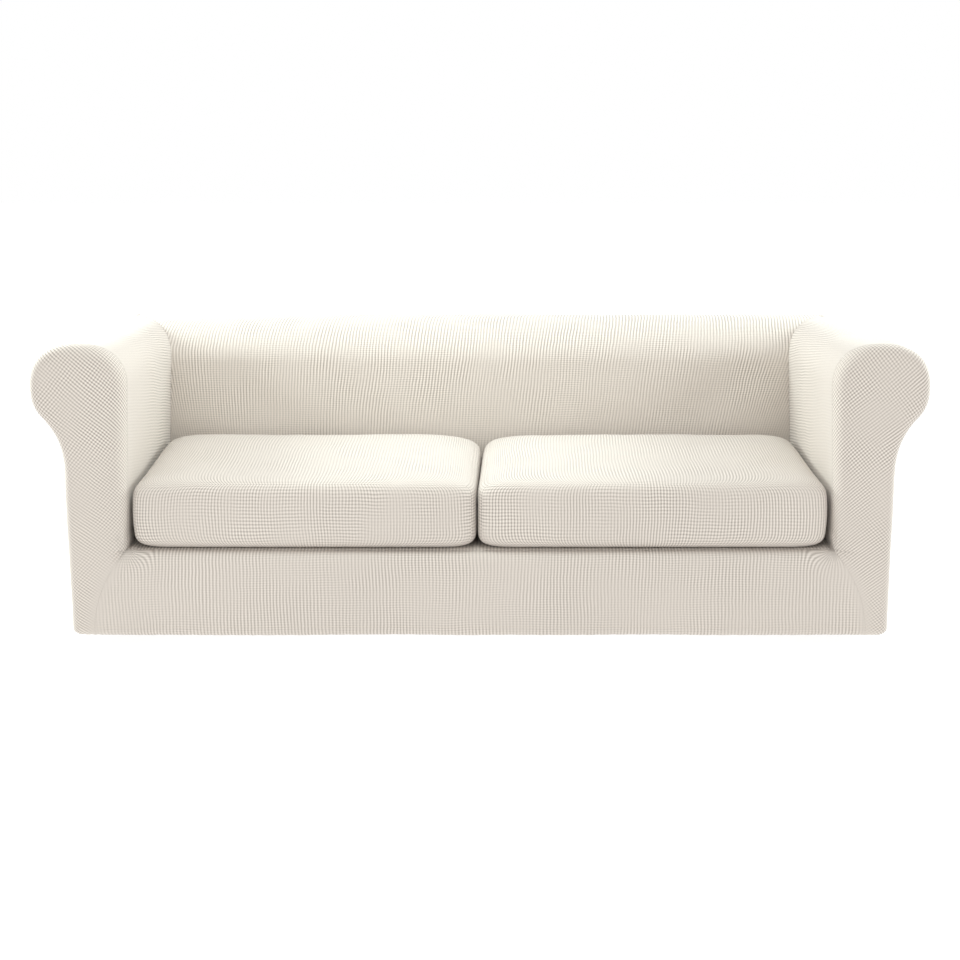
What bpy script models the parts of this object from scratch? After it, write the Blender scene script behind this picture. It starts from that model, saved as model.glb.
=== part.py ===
"""Stretch slipcover set with scroll arms and two cushion covers, in the shape it takes when fitted.

The base cover is ten cloth panels: the inside and outside back, the seat deck, the front apron, and for
each arm an inside panel that goes over the roll, an outside panel and a scroll-shaped front facing. Each
cushion cover is three more: a wrap and two end gussets. Every panel is one thin closed shell. Neighbours
share a seam line, and each stops a hair short of it. All panels are open behind, so the set is hollow.

Frame: +X to the right, +Y to the back, +Z up. The origin lies on the hem plane, midway in width and depth.
"""

import math

import bmesh
import bpy
from mathutils import Vector

# Driving dimensions, in metres.
WIDTH = 2.200               # over both arm rolls
DEPTH = 0.820               # arm facings to outside back
HEIGHT = 0.733              # hem to the crest of the rolls and of the back
CLOTH = 0.002               # thickness of the knit
SEAM_TRIM = 0.00022         # how far each panel stops short of its seam line
EDGE = 0.028                # depth of the soft rounding round the front and the outside back
HEM_RISE = 0.018            # height over which the hem turns under

# The arm's section, seen from the front.
ROLL_HALF_WIDTH = 0.119
ROLL_HALF_HEIGHT = 0.105
ROLL_POWER = 2.4            # 2 is an ellipse, higher is fuller
ARM_OUTER_X = 1.025         # the arm's outer face, half the body's width
ARM_INNER_X = 0.862         # the arm's inner face where the roll begins
INNER_LEAN = 0.0414         # how far the inner face moves out for each metre down
ARM_FLARE = 0.012           # how far the inner face moves out from the front to the back
NECK_LOW_Z = 0.405          # the outer face starts to curve out to the roll here
NECK_TOP_Z = 0.555          # and meets the roll here
NECK_SEAM_Z = 0.500         # the seam under the roll
ROLL_X = WIDTH / 2 - ROLL_HALF_WIDTH
ROLL_Z = HEIGHT - ROLL_HALF_HEIGHT

# The seat platform, the back and the apron.
DECK_Z = 0.222
BACK_FOOT = 0.560           # from the front plane to the foot of the inside back
BACK_LEAN = 0.060           # how far the face goes back for each metre up
BACK_ROUND_Z = 0.620        # the rounded top starts here
BACK_ROUND_DEPTH = 0.150
BACK_CROWN = 0.014          # how far the middle of the back stands forward
CROWN_BELOW_DECK = 0.2      # the crown's bulge fades out this far below the deck
APRON_SEAM_RUN = 0.085      # how far the apron's side seam runs outwards on its way down
APRON_SEAM_POWER = 2.2

# The cushion covers: rounded boxes, fuller towards the back.
CUSHION_FRONT = 0.003       # from the front plane
CUSHION_BACK = 0.543
CUSHION_REST_GAP = 0.0004   # between the deck and the cushion covers that lie on it
CUSHION_THICKNESS = 0.180
CUSHION_LIFT = 0.43         # share by which the upper half swells from front to back
CUSHION_OUTER_X = 0.862
CUSHION_SPLIT_FRONT_X = -0.009   # where the two covers meet, at the front
CUSHION_SPLIT_BACK_X = 0.008     # and at the back
CUSHION_GAP = 0.004
PLAN_POWER = 16.0           # higher is squarer, seen from above
SIDE_POWER = 8.0            # higher is squarer, seen from the front or the side
GUSSET_DEPTH_SHARE = 0.97   # the gusset seams, as shares of the half sides of a cube
GUSSET_HEIGHT_SHARE = 0.93
RIM_SHARE = 0.76            # where the turned-under edge ends, as a share of the same half sides
FLAT_SHARE = 0.93           # the underside is flat below this share of the half thickness

# Where the rows and columns of points lie.
ROUNDING_ANGLES = (0, 12, 38, 64, 90)            # steps round a soft edge, in degrees
ROLL_ANGLES = (-24, 0, 24)                       # steps up the roll's side, in degrees
WIDEST_STEP = 4.0                                # most that a level step grows where an outline slants
APRON_ROW_Z = 0.105
ARM_ROWS_Z = (0.32, NECK_LOW_Z, 0.46, NECK_SEAM_Z, 0.53)
SEAM_COLUMN_SHARES = (0, 0.08, 0.3, 0.6, 1)      # beside the apron's seam, as shares of EDGE
FACING_MIDDLE_SHARES = (0.33, 0.67)
BACK_MIDDLE_SHARES = (0.75, 0.45, 0.15)
DEPTH_STEPS = 5                                  # from the front edge to the inside back
CUSHION_ACROSS = (-1, -0.99, -0.94, -0.82, -0.57, -0.2, 0.2, 0.57, 0.82, 0.94, 0.99, 1)
CUSHION_HEIGHTS = (-1, -0.96, -0.7, -0.25, 0.3, 0.75, 0.96, 1)
CUSHION_DEPTHS = (-1, -0.98, -0.82, -0.45, 0, 0.45, 0.82, 0.98, 1)
RIM_STEPS = (0, 0.45, 0.85)

CREAM = (0.78, 0.72, 0.64, 1.0)


def clear_scene():
    """Remove every object, so that the file can be run again."""
    for item in list(bpy.data.objects):
        bpy.data.objects.remove(item, do_unlink=True)


def place(x, depth, z):
    """A point given by its depth behind the front plane."""
    return Vector((x, depth - DEPTH / 2, z))


# ---- shared outlines ----

def rounding_steps():
    """Distances in from a soft edge, from 0 at the edge to EDGE where the face is flat."""
    return [EDGE * (1 - math.cos(math.radians(angle))) for angle in ROUNDING_ANGLES]


def roll_reach(rise):
    """Half width of the roll at a share of its half height, as a share of its widest."""
    return max(0.0, 1 - min(1.0, abs(rise)) ** ROLL_POWER) ** (1 / ROLL_POWER)


def outer_x(z):
    """The arm's outline on its outer side, at height z."""
    if z < HEM_RISE:
        rise = 1 - z / HEM_RISE
        return ARM_OUTER_X - EDGE * (1 - math.sqrt(max(0.0, 1 - rise * rise)))
    if z < NECK_LOW_Z:
        return ARM_OUTER_X
    if z < NECK_TOP_Z:
        top = (NECK_TOP_Z - ROLL_Z) / ROLL_HALF_HEIGHT
        top_x = ROLL_X + ROLL_HALF_WIDTH * roll_reach(top)
        steepness = (-top) ** (ROLL_POWER - 1) * roll_reach(top) ** (1 - ROLL_POWER)
        slope = ROLL_HALF_WIDTH / ROLL_HALF_HEIGHT * steepness
        span = NECK_TOP_Z - NECK_LOW_Z
        t = (z - NECK_LOW_Z) / span
        blend = 3 * t ** 2 - 2 * t ** 3
        return ARM_OUTER_X + (top_x - ARM_OUTER_X) * blend + span * slope * (t ** 3 - t ** 2)
    return ROLL_X + ROLL_HALF_WIDTH * roll_reach((z - ROLL_Z) / ROLL_HALF_HEIGHT)


def inner_x(z, depth=EDGE):
    """The arm's outline on its inner side, at height z and at a depth behind the front plane."""
    flare = ARM_FLARE * (depth - EDGE) / (BACK_FOOT - EDGE)
    if z < ROLL_Z:
        return ARM_INNER_X + flare + INNER_LEAN * (ROLL_Z - z)
    return ROLL_X - (ROLL_HALF_WIDTH - flare) * roll_reach((z - ROLL_Z) / ROLL_HALF_HEIGHT)


def back_depth(z):
    """Depth of the inside back at height z, where it meets the arms."""
    rise = min(1.0, max(0.0, (z - BACK_ROUND_Z) / (HEIGHT - BACK_ROUND_Z)))
    return BACK_FOOT + BACK_LEAN * (z - DECK_Z) + BACK_ROUND_DEPTH * (1 - math.sqrt(1 - rise * rise))


def back_crown(across, z):
    """How far the inside back stands forward: across is 0 in the middle and 1 at the arms."""
    share = (z - DECK_Z + CROWN_BELOW_DECK) / (HEIGHT - DECK_Z + CROWN_BELOW_DECK)
    return BACK_CROWN * (1 - across ** 4) * math.sin(math.pi * share)


def apron_seam_x(z):
    """The seam between the apron and the arm facing, from the deck's corner out to the hem."""
    down = (DECK_Z - z) / DECK_Z
    return inner_x(DECK_Z) + APRON_SEAM_RUN * (1 - (1 - down) ** APRON_SEAM_POWER)


# ---- rows and columns of points ----

def outline_rows():
    """Heights of the points that every panel along the arm's outline shares, from the hem to the crest."""
    hem = [HEM_RISE * (1 - math.cos(math.radians(angle))) for angle in ROUNDING_ANGLES]
    deck_corner = [DECK_Z - step for step in reversed(rounding_steps())]
    roll = [ROLL_Z + ROLL_HALF_HEIGHT * math.sin(math.radians(angle)) for angle in ROLL_ANGLES]
    crest = [HEIGHT - step for step in reversed(rounding_steps())]
    return hem + [APRON_ROW_Z] + deck_corner + list(ARM_ROWS_Z) + roll + crest


def rows_between(low, high):
    """Those of the shared heights that lie from low to high."""
    return [z for z in outline_rows() if low <= z <= high]


def edge_offsets(line_x, z, room):
    """Level distances in from an outline at height z that step evenly round its soft edge."""
    reach = 0.0005
    low, high = max(0.0, z - reach), min(HEIGHT, z + reach)
    slope = (line_x(high) - line_x(low)) / (high - low)
    widening = min(WIDEST_STEP, math.hypot(1.0, slope), room / EDGE)
    return [step * widening for step in rounding_steps()]


def rear_columns(z):
    """Where the outside back's columns lie at height z, from its right edge to near the middle."""
    side = [outer_x(z) - offset for offset in edge_offsets(outer_x, z, WIDTH / 4)]
    return side + [side[-1] * share for share in BACK_MIDDLE_SHARES]


def column_shares():
    """Columns of the panels between the arms, from -1 to 1; they meet the outside back's at the crest."""
    half = [x / ROLL_X for x in rear_columns(HEIGHT)]
    return [-share for share in half] + list(reversed(half))


def inward_depths(rear):
    """Depths of the points from the front edge to a depth at the rear."""
    return [EDGE + (rear - EDGE) * step / DEPTH_STEPS for step in range(DEPTH_STEPS + 1)]


def distance_to(point, line):
    """Shortest distance from a point to a line of points, both seen from the front."""
    best = math.inf
    for (x0, z0), (x1, z1) in zip(line, line[1:]):
        run_x, run_z = x1 - x0, z1 - z0
        length = run_x * run_x + run_z * run_z
        along = 0.0
        if length > 0:
            along = ((point[0] - x0) * run_x + (point[1] - z0) * run_z) / length
            along = min(1.0, max(0.0, along))
        best = min(best, math.hypot(point[0] - x0 - along * run_x, point[1] - z0 - along * run_z))
    return best


def soft_edge_depth(point, line):
    """How far a face is set back at a point, beside its outline and above its hem."""
    side = max(0.0, 1 - distance_to(point, line) / EDGE)
    hem = max(0.0, 1 - point[1] / HEM_RISE)
    bend = min(1.0, math.hypot(side, hem))
    return EDGE * (1 - math.sqrt(1 - bend * bend))


def outer_line():
    """The arm's outer outline, straight down to the hem plane."""
    return [(ARM_OUTER_X, -EDGE)] + [(outer_x(z), z) for z in rows_between(HEM_RISE, HEIGHT)]


def inner_line():
    """The arm's inner outline from the crest down, then the deck's edge across the middle."""
    side = [(inner_x(z), z) for z in reversed(rows_between(DECK_Z, HEIGHT))]
    return side + [(-inner_x(DECK_Z), DECK_Z)]


# ---- from rows of points to cloth panels ----

def add_rows(mesh, rows, panel_index):
    """Add a sheet to a bmesh from rows of points of equal length; it faces the side where rows run left."""
    grid = [[mesh.verts.new(point) for point in row] for row in rows]
    for lower, upper in zip(grid, grid[1:]):
        for k in range(len(lower) - 1):
            face = mesh.faces.new((lower[k], lower[k + 1], upper[k + 1], upper[k]))
            face.material_index = panel_index


def is_panel_edge(edge, panel_index):
    """Whether a panel ends at an edge, at a seam or at a free edge."""
    return sum(face.material_index == panel_index for face in edge.link_faces) == 1


def edge_pulls(faces, panel_index):
    """For each point on a panel's edges, the short way in along the sheet to where the panel stops."""
    pulls = {}
    for face in faces:
        for loop in face.loops:
            if not is_panel_edge(loop.edge, panel_index):
                continue
            run = (loop.link_loop_next.vert.co - loop.vert.co).normalized()
            pull = face.normal.cross(run).normalized()
            for vert in loop.edge.verts:
                pulls.setdefault(vert, []).append(pull)
    return {vert: (pair[0] + pair[-1]) * (SEAM_TRIM / max(0.5, 1 + pair[0].dot(pair[-1])))
            for vert, pair in pulls.items()}


def make_panel(name, faces, panel_index, inward):
    """Make one panel: its sheet, the same sheet one cloth thickness further in, and the cut edge between.

    Two panels that meet at a seam split its cut edge along the same diagonals, so they never cross.
    """
    pulls = edge_pulls(faces, panel_index)
    shell = bmesh.new()
    outside, inside = {}, {}
    for vert in {vert: None for face in faces for vert in face.verts}:
        point = vert.co + pulls.get(vert, Vector())
        outside[vert] = shell.verts.new(point)
        inside[vert] = shell.verts.new(point + inward[vert])
    for face in faces:
        shell.faces.new([outside[vert] for vert in face.verts]).smooth = True
        shell.faces.new([inside[vert] for vert in (face.verts[0], *reversed(face.verts[1:]))]).smooth = True
        for loop in face.loops:
            if is_panel_edge(loop.edge, panel_index):
                start, end = loop.vert, loop.link_loop_next.vert
                ahead = tuple(start.co) < tuple(end.co)
                shell.faces.new((outside[end], outside[start], inside[end if ahead else start]))
                shell.faces.new((outside[start if ahead else end], inside[start], inside[end]))
    data = bpy.data.meshes.new(name)
    shell.to_mesh(data)
    shell.free()
    data.materials.append(cloth_material(name + "_cloth"))
    bpy.context.scene.collection.objects.link(bpy.data.objects.new(name, data))


def make_cover(panels):
    """Make every panel of one cover from its sheets; panels that share a seam are cut at the same slant."""
    mesh = bmesh.new()
    for panel_index, sheets in enumerate(panels.values()):
        for rows in sheets:
            add_rows(mesh, rows, panel_index)
    bmesh.ops.remove_doubles(mesh, verts=mesh.verts, dist=1e-5)
    mesh.normal_update()
    inward = {vert: vert.normal * (-CLOTH * vert.calc_shell_factor()) for vert in mesh.verts}
    for panel_index, name in enumerate(panels):
        faces = [face for face in mesh.faces if face.material_index == panel_index]
        make_panel(name, faces, panel_index, inward)
    mesh.free()


def mirror_rows(rows):
    """The same rows for the left side, still facing outwards."""
    return [[Vector((-point.x, point.y, point.z)) for point in reversed(row)] for row in rows]


def both_sides(name, *sheets):
    """The sheets of a panel on the right arm and their mirror images on the left one."""
    return {name + "_right": sheets, name + "_left": [mirror_rows(rows) for rows in sheets]}


def cloth_material(name):
    """Plain matt knit in cream."""
    material = bpy.data.materials.new(name)
    material.use_nodes = True
    shader = material.node_tree.nodes["Principled BSDF"]
    shader.inputs["Base Color"].default_value = CREAM
    shader.inputs["Roughness"].default_value = 0.92
    shader.inputs["Metallic"].default_value = 0.0
    return material


# ---- the base cover ----

def facing_row(z, line):
    """One row across the arm facing at height z, from its inner edge or seam to its outer edge."""
    end = outer_x(z)
    start = apron_seam_x(z) if z < DECK_Z else inner_x(z)
    room = (end - start) * 0.4
    if z < DECK_Z:
        inner = [start + min(room, EDGE) * share for share in SEAM_COLUMN_SHARES]
    else:
        inner = [start + offset for offset in edge_offsets(inner_x, z, room)]
    outer = [end - offset for offset in reversed(edge_offsets(outer_x, z, room))]
    middle = [inner[-1] + (outer[0] - inner[-1]) * share for share in FACING_MIDDLE_SHARES]
    return [place(x, soft_edge_depth((x, z), line), z) for x in inner + middle + outer]


def arm_fronts():
    """The scroll-shaped facings, from the hem to the crest."""
    line = outer_line() + inner_line()
    return both_sides("arm_front", [facing_row(z, line) for z in outline_rows()])


def front_apron():
    """The front panel under the cushion covers, between the two slanting seams."""
    line = inner_line()
    rows = []
    for z in rows_between(0.0, DECK_Z):
        across = [apron_seam_x(z) * share for share in column_shares()]
        rows.append([place(x, soft_edge_depth((abs(x), z), line), z) for x in across])
    return {"front_apron": [rows]}


def seat_deck():
    """The platform panel under the cushion covers."""
    rows = []
    for side_depth in inward_depths(back_depth(DECK_Z)):
        back_share = (side_depth - EDGE) / (back_depth(DECK_Z) - EDGE)
        half = inner_x(DECK_Z, side_depth)
        rows.append([place(half * share, side_depth - back_share * back_crown(abs(share), DECK_Z), DECK_Z)
                     for share in column_shares()])
    return {"seat_deck": [rows]}


def outside_arms():
    """The flat outside panels, from the turned-under hem to the seam under the roll."""
    depths = inward_depths(back_depth(HEIGHT)) + [DEPTH - EDGE]
    rows = [[place(outer_x(z), depth, z) for depth in depths] for z in rows_between(0.0, NECK_SEAM_Z)]
    return both_sides("outside_arm", rows)


def inside_arms():
    """The panels that go from the seam under the roll, over it, and down the inner face to the deck."""
    depths = inward_depths(back_depth(HEIGHT)) + [DEPTH - EDGE]
    outer = [[place(outer_x(z), depth, z) for depth in depths] for z in rows_between(NECK_SEAM_Z, HEIGHT)]
    inner = [[place(inner_x(z, depth), depth, z) for depth in inward_depths(back_depth(z))]
             for z in reversed(rows_between(DECK_Z, HEIGHT))]
    return both_sides("inside_arm", outer, inner)


def inside_back():
    """The face and rounded top of the back, from the deck to the rear seam."""
    rows = []
    for z in rows_between(DECK_Z, HEIGHT):
        depth = back_depth(z)
        half = inner_x(z, depth)
        rows.append([place(half * share, depth - back_crown(abs(share), z), z) for share in column_shares()])
    rows.append([place(point.x, DEPTH - EDGE, HEIGHT) for point in rows[-1]])
    return {"inside_back": [rows]}


def outside_back():
    """The rear panel: hem, sides, the rolls' scroll ends and a straight top."""
    line = outer_line() + [(-ROLL_X, HEIGHT)]
    rows = []
    for z in outline_rows():
        half = rear_columns(z)
        whole = half + [-x for x in reversed(half)]
        rows.append([place(x, DEPTH - soft_edge_depth((abs(x), z), line), z) for x in whole])
    return {"outside_back": [rows]}


# ---- the cushion covers ----

def rounded_box(direction, centre, half):
    """The point where a direction leaves a rounded box that swells upwards and backwards."""
    x, y, z = direction
    plan = (abs(x) ** PLAN_POWER + abs(y) ** PLAN_POWER) ** (SIDE_POWER / PLAN_POWER)
    reach = (plan + abs(z) ** SIDE_POWER) ** (-1 / SIDE_POWER)
    across, along, up = x * reach, y * reach, max(-FLAT_SHARE, z * reach)
    back = (along + 1) / 2
    if up > 0:
        up *= 1 + CUSHION_LIFT * (3 * back ** 2 - 2 * back ** 3)
    return Vector((centre[0] + half[0] * across, centre[1] + half[1] * along, centre[2] + half[2] * up))


def cushion_point(x, y, z, sign):
    """A point of a cushion cover: x from -1 at the split to 1 at the arm, and the same for y and z."""
    half = (1.0, (CUSHION_BACK - CUSHION_FRONT) / 2, CUSHION_THICKNESS / 2)
    middle_z = DECK_Z + CUSHION_REST_GAP + FLAT_SHARE * half[2]
    centre = (0.0, (CUSHION_FRONT + CUSHION_BACK) / 2 - DEPTH / 2, middle_z)
    point = rounded_box((x, y, z), centre, half)
    along = (point.y + DEPTH / 2 - CUSHION_FRONT) / (CUSHION_BACK - CUSHION_FRONT)
    split = CUSHION_SPLIT_FRONT_X + (CUSHION_SPLIT_BACK_X - CUSHION_SPLIT_FRONT_X) * along
    low = split + sign * CUSHION_GAP / 2
    high = sign * CUSHION_OUTER_X
    return Vector((low + (high - low) * (point.x + 1) / 2, point.y, point.z))


def cushion_cover(side, sign):
    """One cushion cover: a wrap and two gussets, open underneath."""
    deep, tall = GUSSET_DEPTH_SHARE, GUSSET_HEIGHT_SHARE
    rim = [(RIM_SHARE + step * (1 - RIM_SHARE), RIM_SHARE + step * (deep - RIM_SHARE)) for step in RIM_STEPS]
    up_and_over = [(1, -deep, z * tall) for z in CUSHION_HEIGHTS]
    up_and_over += [(1, y * deep, tall) for y in CUSHION_DEPTHS[1:-1]]
    up_and_over += [(1, deep, z * tall) for z in reversed(CUSHION_HEIGHTS)]
    run = [(wide, -reach, -tall) for wide, reach in rim] + up_and_over
    run += [(wide, reach, -tall) for wide, reach in reversed(rim)]
    wrap = [[cushion_point(x * wide, y, z, sign) for x in CUSHION_ACROSS] for wide, y, z in run]
    drop = [(1, deep, z * tall) for z in reversed(CUSHION_HEIGHTS)]
    drop += [(wide, reach, -tall) for wide, reach in reversed(rim)]
    panels = {"wrap": wrap if sign > 0 else flip_rows(wrap)}
    for name, end in (("inner_gusset", -1), ("outer_gusset", 1)):
        rows = [[cushion_point(end * wide, -y * reach, z, sign) for y in CUSHION_DEPTHS]
                for wide, reach, z in drop]
        panels[name] = rows if end * sign > 0 else flip_rows(rows)
    return {side + "_cushion_" + name: [rows] for name, rows in panels.items()}


def flip_rows(rows):
    """The same rows of points, run the other way, so that the sheet faces its other side."""
    return [list(reversed(row)) for row in rows]


def main():
    """Build the whole set."""
    clear_scene()
    make_cover({**arm_fronts(), **front_apron(), **seat_deck(), **outside_arms(), **inside_arms(),
                **inside_back(), **outside_back()})
    make_cover(cushion_cover("left", -1))
    make_cover(cushion_cover("right", 1))


main()
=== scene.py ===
"""Dressed scene of a fitted stretch slipcover set: a base cover and two seat-cushion covers.

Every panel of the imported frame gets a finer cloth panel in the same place, with soft folds, gathers
at the corners of the deck, an elastic hem and a waffle knit whose ribs run as they do on a fitted
cover. All sizes are in metres: +X to the right, +Y to the back, +Z up, with the hem plane at Z = 0.
"""

import logging
import math
from abc import ABC, abstractmethod
from collections.abc import Callable
from dataclasses import dataclass, field
from enum import Enum

import bmesh
import bpy
import numpy as np
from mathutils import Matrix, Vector
from mathutils.kdtree import KDTree


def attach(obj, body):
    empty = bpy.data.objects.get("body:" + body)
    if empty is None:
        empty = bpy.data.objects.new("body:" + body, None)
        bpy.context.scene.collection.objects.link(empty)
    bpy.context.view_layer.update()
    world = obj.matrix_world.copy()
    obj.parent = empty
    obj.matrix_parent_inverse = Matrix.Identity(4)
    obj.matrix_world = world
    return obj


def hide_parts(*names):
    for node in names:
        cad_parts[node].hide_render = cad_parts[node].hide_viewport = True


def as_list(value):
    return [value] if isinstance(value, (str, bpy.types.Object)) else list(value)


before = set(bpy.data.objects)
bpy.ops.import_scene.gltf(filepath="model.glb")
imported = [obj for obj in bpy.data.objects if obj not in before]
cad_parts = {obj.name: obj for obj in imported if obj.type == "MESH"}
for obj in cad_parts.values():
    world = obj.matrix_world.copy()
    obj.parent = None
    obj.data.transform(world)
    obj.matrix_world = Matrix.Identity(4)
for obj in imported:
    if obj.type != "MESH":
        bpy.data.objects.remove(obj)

LOG = logging.getLogger("slipcover")
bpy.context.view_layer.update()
BODY = "root"
COUNT_MAP = "knit_count"
SHOWN_MAP = "knit_shown"
WELD = 1e-5
TINY = 1e-6
WHITE = (1, 1, 1, 1)

Array = np.ndarray
Pair = tuple[float, float]
Point = tuple[float, float, float]
Socket = bpy.types.NodeSocket
Material = bpy.types.Material
BMesh, BMFace, BMVert = bmesh.types.BMesh, bmesh.types.BMFace, bmesh.types.BMVert


class Side(Enum):
    """Which end of the set a panel belongs to."""

    LEFT = "left"
    RIGHT = "right"

    @property
    def sign(self) -> int:
        """-1 on the left and 1 on the right."""
        return 1 if self is Side.RIGHT else -1


def clamped(value: float) -> float:
    """The value, kept between 0 and 1."""
    return min(1.0, max(0.0, value))


def soft_step(values: Array | float, low: float, high: float) -> Array:
    """0 below low, 1 above high and smooth between them."""
    t = np.clip((values - low) / (high - low), 0, 1)
    return t * t * (3 - 2 * t)


def running_length(points: Array) -> Array:
    """Distance along a line of points, from 0 at its first."""
    steps = np.linalg.norm(np.diff(points, axis=0), axis=1)
    return np.concatenate([[0.0], np.cumsum(steps)])


def linked(name: str, data: bpy.types.ID) -> bpy.types.Object:
    """Put a mesh, a light or a camera into the scene as an object of that name."""
    bpy.context.scene.collection.objects.link(made := bpy.data.objects.new(name, data))
    return made


# ---- the fitted shape ----


@dataclass(frozen=True)
class FittedForm:
    """Outlines of the base cover as it is drawn on; depths are measured back from the front."""

    width: float = 2.200
    depth: float = 0.820
    height: float = 0.733
    edge: float = 0.028
    hem_rise: float = 0.018
    roll_half_width: float = 0.119
    roll_half_height: float = 0.105
    roll_power: float = 2.4
    arm_outer: float = 1.025
    arm_inner: float = 0.862
    inner_lean: float = 0.0414
    arm_flare: float = -0.003
    neck_low: float = 0.405
    neck_top: float = 0.555
    neck_seam: float = 0.500
    deck: float = 0.222
    back_foot: float = 0.560
    back_lean: float = 0.060
    back_round_from: float = 0.620
    back_round_depth: float = 0.150
    back_bulge: float = 0.014
    bulge_from: float = 0.022
    seam_run: float = 0.085
    seam_power: float = 2.2
    round_steps: int = 12
    step: float = 0.0095
    slope_reach: float = 0.0005
    widest_step: float = 4.0
    rear_half_columns: int = 65
    rear_steps: int = 5

    @property
    def roll_x(self) -> float:
        """Distance of the roll's middle from the middle of the set."""
        return self.width / 2 - self.roll_half_width

    @property
    def roll_z(self) -> float:
        """Height of the roll's middle."""
        return self.height - self.roll_half_height

    def roll_reach(self, rise: float) -> float:
        """Half width of the roll at a share of its half height, as a share of its widest."""
        return max(0.0, 1 - min(1.0, abs(rise)) ** self.roll_power) ** (1 / self.roll_power)

    def outer_x(self, z: float) -> float:
        """Outline of the arm on its outer side.

        Args:
            z: height above the hem plane.

        Returns:
            Distance from the middle of the set.
        """
        if z < self.hem_rise:
            rise = 1 - z / self.hem_rise
            return self.arm_outer - self.edge * (1 - math.sqrt(max(0.0, 1 - rise * rise)))
        if z < self.neck_low:
            return self.arm_outer
        if z >= self.neck_top:
            rise = (z - self.roll_z) / self.roll_half_height
            return self.roll_x + self.roll_half_width * self.roll_reach(rise)
        top = (self.neck_top - self.roll_z) / self.roll_half_height
        reach = self.roll_reach(top)
        swing = self.roll_x + self.roll_half_width * reach - self.arm_outer
        steepness = (-top) ** (self.roll_power - 1) * reach ** (1 - self.roll_power)
        slope = self.roll_half_width / self.roll_half_height * steepness
        span = self.neck_top - self.neck_low
        t = (z - self.neck_low) / span
        return self.arm_outer + swing * (3 * t**2 - 2 * t**3) + span * slope * (t**3 - t**2)

    def inner_x(self, z: float, depth: float | Array | None = None) -> float | Array:
        """Outline of the arm on its inner side.

        Args:
            z: height above the hem plane.
            depth: depth behind the front plane, or None for the front edge.

        Returns:
            Distance from the middle of the set.
        """
        behind = (self.edge if depth is None else depth) - self.edge
        flare = self.arm_flare * behind / (self.back_foot - self.edge)
        if z < self.roll_z:
            return self.arm_inner + flare + self.inner_lean * (self.roll_z - z)
        rise = (z - self.roll_z) / self.roll_half_height
        return self.roll_x - (self.roll_half_width - flare) * self.roll_reach(rise)

    def back_depth(self, z: float) -> float:
        """Follow the leaning inside back, with its rounded top, where it meets the arms.

        Args:
            z: height above the hem plane.

        Returns:
            Its depth behind the front plane.
        """
        rise = clamped((z - self.back_round_from) / (self.height - self.back_round_from))
        rounding = self.back_round_depth * (1 - math.sqrt(1 - rise * rise))
        return self.back_foot + self.back_lean * (z - self.deck) + rounding

    def bulge(self, across: Array, z: float) -> Array:
        """How far the back stands forward, from across 0 in the middle to 1 at the arms."""
        share = (z - self.bulge_from) / (self.height - self.bulge_from)
        return self.back_bulge * (1 - across**4) * math.sin(math.pi * share)

    def apron_seam_x(self, z: float) -> float:
        """Where the seam between apron and arm facing lies at height z."""
        down = (self.deck - z) / self.deck
        return self.inner_x(self.deck) + self.seam_run * (1 - (1 - down) ** self.seam_power)

    def rounding(self) -> Array:
        """Distances in from a soft edge, closest together at the edge."""
        return self.edge * (1 - np.cos(np.linspace(0, math.pi / 2, self.round_steps + 1)))

    def _climb(self, low: float, high: float) -> Array:
        """Even heights above low up to and with high."""
        return np.linspace(low, high, max(2, round((high - low) / self.step)) + 1)[1:]

    def rows(self, low: float = 0.0, high: float = 10.0) -> Array:
        """Heights that the panels along the arm's outline share.

        Args:
            low: lowest height wanted.
            high: highest height wanted.

        Returns:
            The shared heights from low to high.
        """
        near, seam = self.rounding(), self.neck_seam
        zs = np.concatenate([
            self.hem_rise * near / self.edge, self._climb(self.hem_rise, self.deck - self.edge),
            (self.deck - near[::-1])[1:], self._climb(self.deck, seam),
            self._climb(seam, self.height - self.edge), (self.height - near[::-1])[1:],
        ])
        return zs[(zs >= low) & (zs <= high)]

    def edge_offsets(self, line_x: Callable[[float], float], z: float, room: float) -> Array:
        """Level distances in from an outline that step evenly round its soft edge.

        Args:
            line_x: the outline, as a function of the height.
            z: height of the row.
            room: most that the last distance may be.

        Returns:
            The distances, from 0 at the outline.
        """
        low, high = max(0.0, z - self.slope_reach), min(self.height, z + self.slope_reach)
        slope = (line_x(high) - line_x(low)) / (high - low)
        return self.rounding() * min(self.widest_step, math.hypot(1.0, slope), room / self.edge)

    def rear_columns(self, z: float) -> Array:
        """Where the outside back's columns lie at height z, from its right to its left edge."""
        half = self._half_columns(z)
        return np.concatenate([half, -half[::-1]])

    def _half_columns(self, z: float) -> Array:
        """Lay out the right half of those columns.

        Args:
            z: height of the row.

        Returns:
            Their places, from the edge to near the middle.
        """
        count = self.rear_half_columns
        edge = self.outer_x(z) - self.edge_offsets(self.outer_x, z, self.width / 4)
        return np.append(edge, edge[-1] * (np.arange(count, 0, -1) - 0.5) / count)

    def column_shares(self) -> Array:
        """Columns of the panels between the arms, from -1 to 1."""
        return -self.rear_columns(self.height) / self.roll_x

    def inward_depths(self, rear: float) -> Array:
        """Depths from the front edge to a depth at the rear."""
        count = round((self.back_foot - self.edge) / self.step)
        return self.edge + (rear - self.edge) * np.arange(count + 1) / count

    def rear_depths(self) -> Array:
        """Depths along the crest from the inside back's top to the rear seam, without the first."""
        start, end = self.back_depth(self.height), self.depth - self.edge
        return np.linspace(start, end, self.rear_steps + 1)[1:]

    def side_depths(self) -> Array:
        """Depths along the arm from the front edge to the rear seam."""
        front = self.inward_depths(self.back_depth(self.height))
        return np.concatenate([front, self.rear_depths()])

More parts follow.
